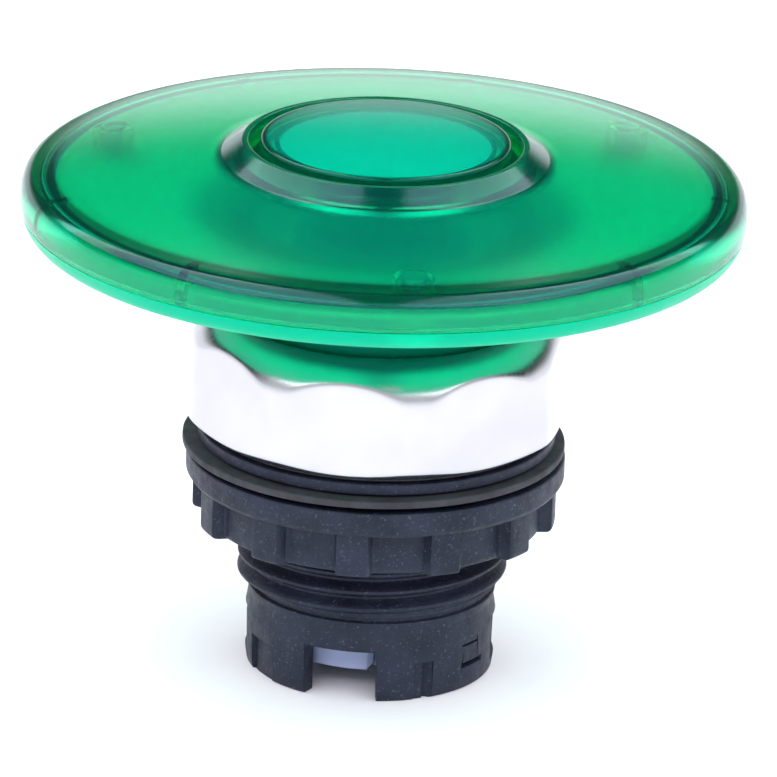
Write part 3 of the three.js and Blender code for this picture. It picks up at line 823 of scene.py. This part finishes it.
def threaded_body():
    lower = [
        (8.7, 0.0, 0.15),
        (10.0, 0.0, 0.25),
        (10.12, 0.9, 0.5),
        (10.2, 4.6, 0.8),
        (9.96, 6.0, 0.8),
        (10.1, 6.75, 0.12),
        (9.75, 6.85, 0.06),
        (9.75, 7.15, 0.06),
    ]
    lower = rounded([(8.7, 3.0), *lower, (10.05, 7.25)], closed=False)
    upper = rounded([
        (THREAD_MINOR, THREAD_END),
        (THREAD_MINOR, FLANGE_BOTTOM, 0.1),
        (FLANGE_R, FLANGE_BOTTOM, 0.15),
        (FLANGE_R, FLANGE_TOP, 0.18),
        (NECK_R, FLANGE_TOP, 0.1),
        (NECK_R, 27.0, 0.12),
        (12.35, 27.0, 0.12),
        (12.35, 21.6, 0.2),
        (9.0, 21.6, 0.15),
        (9.0, 9.4, 0.15),
        (7.2, 9.4, 0.1),
        (7.2, 8.0, 0.1),
        (8.7, 8.0, 0.2),
        (8.7, 3.5),
    ], closed=False)
    azimuths = [360 * i / SEGMENTS for i in range(SEGMENTS)]
    rows = []
    for azimuth in azimuths:
        thread = thread_rows(azimuth, THREAD_START, THREAD_END, 0, inward=False)
        rows.append(np.concatenate([lower, thread, upper]))
    seam = thread_seam(len(lower), len(thread), inward=False)
    body = loft(rows, azimuths, seam=seam)
    body = combine(body, foot_cutters(), "DIFFERENCE")
    key = box_bmesh((3.0, 2.6, 1.3), (11.3, 19.05), 180)
    body = combine(body, [key], "UNION")
    body = soften(body, 0.12, lambda p: 0.2 < p.z < 4.9 and 9.0 < math.hypot(p.x, p.y))
    piece(body, "body_shell", "housing", "black_plastic", BLACK, "threaded_body", sharp=34)


def gasket():
    bottom = low("panel_gasket")
    top = high("panel_gasket")
    outer = 15.5
    aside = -0.2
    azimuths = np.arange(0, 360, 1.5)
    rows = []
    for azimuth in azimuths:
        from_key = math.radians(azimuth - 180)
        in_notch = abs(math.sin(from_key)) * 12 < 1.8 and math.cos(from_key) > 0
        hole = 12.9 if in_notch else 11.3
        rows.append(rounded([
            (hole, bottom, 0.1), (outer, bottom, 0.16), (outer, top, 0.16), (hole, top, 0.1)]))
    ring = loft(rows, azimuths)
    bmesh.ops.translate(ring, vec=(aside * MM, 0, 0), verts=ring.verts)
    piece(ring, "panel_ring_gasket", "gasket", "rubber", RUBBER, "panel_gasket")


def ring_nut():
    """Twelve rounded grip teeth under a smooth flange, on an internal thread."""
    bottom = low("ring_nut")
    top = high("ring_nut")
    flange_r = 15.36
    tooth_top = 16.1
    tooth_r = 14.75
    root_r = 13.75
    first_tooth = -6.15
    pitch_angle = 30
    azimuths = np.arange(0, 360, 0.75)
    rows = []
    for azimuth in azimuths:
        from_tooth = abs((azimuth - first_tooth + pitch_angle / 2) % pitch_angle - pitch_angle / 2)
        share = min(1.0, max(0.0, (6.5 - from_tooth) / 1.6))
        share = share * share * (3 - 2 * share)
        wall = root_r + (tooth_r - root_r) * share
        outside = rounded([
            (11.6, bottom),
            (wall, bottom, 0.5),
            (wall, tooth_top, 0.12),
            (15.1, tooth_top, 0.18),
            (flange_r, 16.5, 0.3),
            (flange_r, top, 0.2),
            (11.4, top),
            (11.3, top - 0.15),
        ], closed=False)
        thread = thread_rows(azimuth, bottom + 0.2, top - 0.2, 0.15, inward=True)
        rows.append(np.concatenate([outside, thread]))
    seam = thread_seam(len(outside), len(thread), inward=True)
    piece(loft(rows, azimuths, seam=seam), "nut_ring", "nut", "black_plastic", BLACK, "ring_nut", sharp=38)


# ---- Inside the body -----------------------------------------------------------------------


def plunger():
    outline = rounded([
        (5.2, 4.8, 0.2),
        (7.0, 4.8, 0.25),
        (7.0, 6.5, 0.08),
        (6.5, 6.5),
        (6.5, 7.25),
        (7.0, 7.25, 0.08),
        (7.0, 26.2),
        (8.6, 26.2, 0.12),
        (8.6, 27.2, 0.12),
        (7.0, 27.2),
        (7.0, 28.6),
        (10.6, 28.6, 0.12),
        (10.6, 29.9, 0.12),
        (7.0, 29.9),
        (7.0, 36.0, 0.25),
        (5.2, 36.0, 0.2),
    ])
    piece(lathe(outline, 120), "plunger_tube", "operator", "grey_plastic", GREY, "plunger")


def pusher():
    """The ring under the plunger, with a lug to the front and one to the back."""
    bottom = low("pusher")
    top = high("pusher")
    azimuths = np.arange(0, 360, 0.5)
    rows = []
    for azimuth in azimuths:
        across = (azimuth + 40) % 180
        lug = 7.9 if 0 <= across <= 43 else 6.9
        end_bevel = max(0.0, 4.0 - min(abs(across), abs(43 - across))) / 4.0 if lug > 7 else 0.0
        lift = 0.55 * end_bevel
        rows.append(rounded([
            (5.4, bottom, 0.15),
            (lug - 0.3 * end_bevel, bottom + lift, 0.15),
            (lug, top, 0.15),
            (5.4, top, 0.15),
        ]))
    piece(loft(rows, azimuths), "pusher_ring", "operator", "grey_plastic", GREY, "pusher")


def washers_and_clips():
    """Flat rings of steel: two washers go all round, and two clips have a gap."""
    seat = lathe(flat_ring(7.15, 8.75, "spring_seat", 0.1), 120)
    piece(seat, "seat_washer", "operator", "spring_steel", STEEL, "spring_seat")
    stop = lathe(flat_ring(7.15, 8.5, "stop_washer", 0.1), 120)
    piece(stop, "stop_ring", "operator", "spring_steel", STEEL, "stop_washer")
    stem_clip = sector(flat_ring(6.6, 8.2, "plunger_circlip", 0.08), 20, 340)
    piece(stem_clip, "stem_circlip", "operator", "spring_steel", STEEL, "plunger_circlip")
    hub_clip = sector(flat_ring(9.6, 11.2, "hub_clip", 0.08), 15, 345)
    piece(hub_clip, "hub_circlip", "operator", "spring_steel", STEEL, "hub_clip")


def return_spring():
    """Round wire on a helix, whose first and last turns are closed up."""
    wire_r = 0.4
    coil_r = 8.05
    bottom = low("return_spring") + wire_r
    top = high("return_spring") - wire_r
    turns = 6.5
    steps = int(turns * 48)
    sides = 12
    bm = bmesh.new()
    rings = []
    for i in range(steps + 1):
        t = i / steps
        angle = turns * 2 * math.pi * t
        rise = t - 0.045 * math.sin(2 * math.pi * t)
        outwards = Vector((math.sin(angle), -math.cos(angle), 0))
        centre = outwards * coil_r + Vector((0, 0, bottom + (top - bottom) * rise))
        ring = []
        for k in range(sides):
            turn = 2 * math.pi * k / sides
            offset = outwards * math.cos(turn) * wire_r + Vector((0, 0, math.sin(turn) * wire_r))
            ring.append(bm.verts.new((centre + offset) * MM))
        rings.append(ring)
    for first, second in zip(rings, rings[1:]):
        for k in range(sides):
            n = (k + 1) % sides
            bm.faces.new((first[k], second[k], second[n], first[n]))
    bm.faces.new(rings[0])
    bm.faces.new(list(reversed(rings[-1])))
    spring = piece(bm, "coil_spring", "housing", "spring_steel", STEEL, "return_spring")
    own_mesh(spring)


# ---- Floor, light and camera ---------------------------------------------------------------


def floor():
    bm = bmesh.new()
    bmesh.ops.create_grid(bm, x_segments=1, y_segments=1, size=3.0)
    plane = to_object(bm, "floor")
    made = Nodes("floor_white")
    made.colour(made.mix(
        made.ramp(made.noise(6, 2), 0.3, 0.0, 0.7, 1.0), (0.90, 0.875, 0.915), (0.93, 0.905, 0.945)))
    made.set(Roughness=0.6)
    plane.data.materials.append(made.material)


def lights():
    """Two wide softboxes that hang level above, left and right of the middle."""
    for name, side in (("left_soft", -1), ("right_soft", 1)):
        data = bpy.data.lights.new(name, "AREA")
        data.shape = "RECTANGLE"
        data.size = SOFTBOX_SIZE[0]
        data.size_y = SOFTBOX_SIZE[1]
        data.energy = SOFTBOX_POWER
        data.color = COOL_WHITE
        light = bpy.data.objects.new(name, data)
        light.location = (side * (SOFTBOX_GAP + SOFTBOX_SIZE[0]) / 2, SOFTBOX_BACK, SOFTBOX_HEIGHT)
        bpy.context.scene.collection.objects.link(light)


def studio():
    """The world: the brighter of the backdrop's glow and the room's glow, in every direction."""
    world = bpy.data.worlds.new("studio")
    world.use_nodes = True
    tree = world.node_tree
    background = tree.nodes["Background"]
    background.inputs["Color"].default_value = (*COOL_WHITE, 1.0)
    direction = tree.nodes.new("ShaderNodeSeparateXYZ")
    tree.links.new(tree.nodes.new("ShaderNodeTexCoord").outputs["Generated"], direction.inputs["Vector"])

    def fade(value, limits, glow):
        node = tree.nodes.new("ShaderNodeMapRange")
        node.interpolation_type = "SMOOTHSTEP"
        node.inputs["From Min"].default_value = limits[0]
        node.inputs["From Max"].default_value = limits[1]
        node.inputs["To Min"].default_value = glow
        node.inputs["To Max"].default_value = 0.0
        tree.links.new(value, node.inputs["Value"])
        return node.outputs["Result"]

    def combined(operation, first, second):
        node = tree.nodes.new("ShaderNodeMath")
        node.operation = operation
        tree.links.new(first, node.inputs[0])
        tree.links.new(second, node.inputs[1])
        return node.outputs["Value"]

    backdrop = fade(direction.outputs["Z"], BACKDROP_FADES, BACKDROP_GLOW)
    room_height = fade(direction.outputs["Z"], ROOM_FADES, ROOM_GLOW)
    room_width = fade(direction.outputs["Y"], ROOM_SIDES, 1.0)
    room = combined("MULTIPLY", room_height, room_width)
    tree.links.new(combined("MAXIMUM", backdrop, room), background.inputs["Strength"])
    bpy.context.scene.world = world


def camera():
    """A long lens looks down on the head from the front, rolled a little."""
    distance = 0.8
    elevation = math.radians(20.04)
    roll = math.radians(1.94)
    aim = Vector((0, 0, 0.023))
    data = bpy.data.cameras.new("camera")
    data.sensor_width = 36
    data.lens = 458.4
    data.shift_x = 0.014
    data.shift_y = 0.004
    data.clip_start = 0.05
    data.clip_end = 20
    obj = bpy.data.objects.new("camera", data)
    obj.location = aim + distance * Vector((0, -math.cos(elevation), math.sin(elevation)))
    look = (aim - obj.location).to_track_quat("-Z", "Y").to_matrix().to_4x4()
    obj.matrix_world = Matrix.Translation(obj.location) @ look @ Matrix.Rotation(roll, 4, "Z")
    bpy.context.scene.collection.objects.link(obj)
    bpy.context.scene.camera = obj


def main():
    camera()
    lights()
    studio()
    floor()
    lens()
    base()
    cap()
    inside_the_mushroom()
    screws()
    bezel()
    seals()
    threaded_body()
    gasket()
    ring_nut()
    plunger()
    pusher()
    washers_and_clips()
    return_spring()
    bpy.context.scene.view_settings.view_transform = "Standard"


main()
